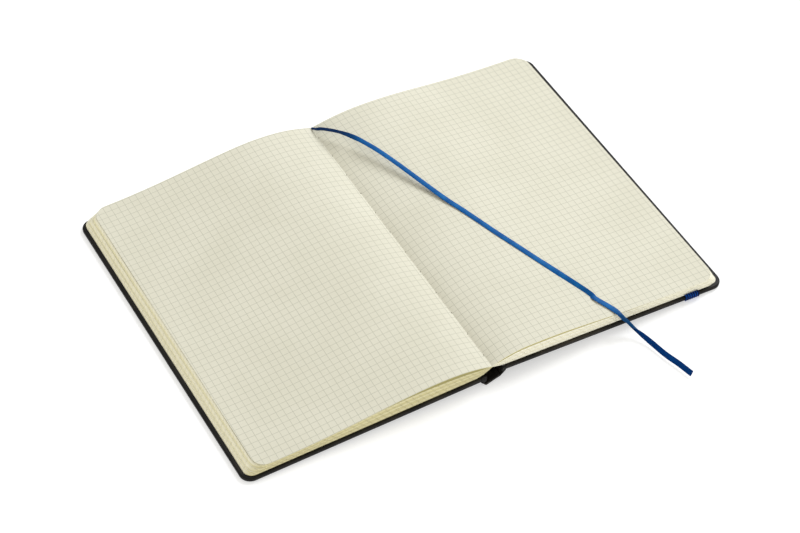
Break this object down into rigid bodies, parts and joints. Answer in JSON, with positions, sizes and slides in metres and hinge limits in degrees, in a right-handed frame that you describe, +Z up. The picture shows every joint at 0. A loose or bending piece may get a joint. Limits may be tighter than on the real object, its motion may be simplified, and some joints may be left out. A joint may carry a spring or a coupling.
{
  "type": "hard-cover squared notebook",
  "caption": "Open hard-cover notebook with squared pages, rounded corners, a ribbon marker and an elastic closure.",
  "frame": {"origin": "on the table under the middle of the open case, midway between its fore-edges and between its head and tail", "axes": "+X across the spread towards the back cover, +Y towards the head of the pages, +Z up out of the open pages"},
  "size_m": [0.2924, 0.2591, 0.0199],
  "materials": {
    "leatherette": "matt black leatherette with a fine grain",
    "grey_board": "raw grey board",
    "endpaper": "plain uncoated cream paper",
    "page_paper": "uncoated cream paper with grey squared ruling",
    "thread": "waxed cream sewing thread",
    "ribbon": "woven satin ribbon with a soft sheen",
    "elastic": "woven elastic with fine ribs"
  },
  "bodies": {
    "spine": {"spine_strip": "grey_board", "spine_wrap": "leatherette", "page_block": "page_paper", "binding_thread": "thread", "ribbon_marker": "ribbon"},
    "front_cover": {"front_board": "grey_board", "front_cover_wrap": "leatherette", "front_pastedown": "endpaper"},
    "back_cover": {"back_board": "grey_board", "back_cover_wrap": "leatherette", "back_pastedown": "endpaper", "elastic_band": "elastic"}
  },
  "joints": [
    {"name": "front_cover_hinge", "type": "hinge", "parent": "spine", "child": "front_cover", "pos_m": [-0.00756, 0, 0.00361], "axis": [0, 1, 0], "range_deg": [0, 82.5], "deforming": ["page_block"]},
    {"name": "back_cover_hinge", "type": "hinge", "parent": "spine", "child": "back_cover", "pos_m": [0.00764, 0, 0.00601], "axis": [0, -1, 0], "range_deg": [0, 101.5], "deforming": ["page_block", "ribbon_marker"]}
  ]
}
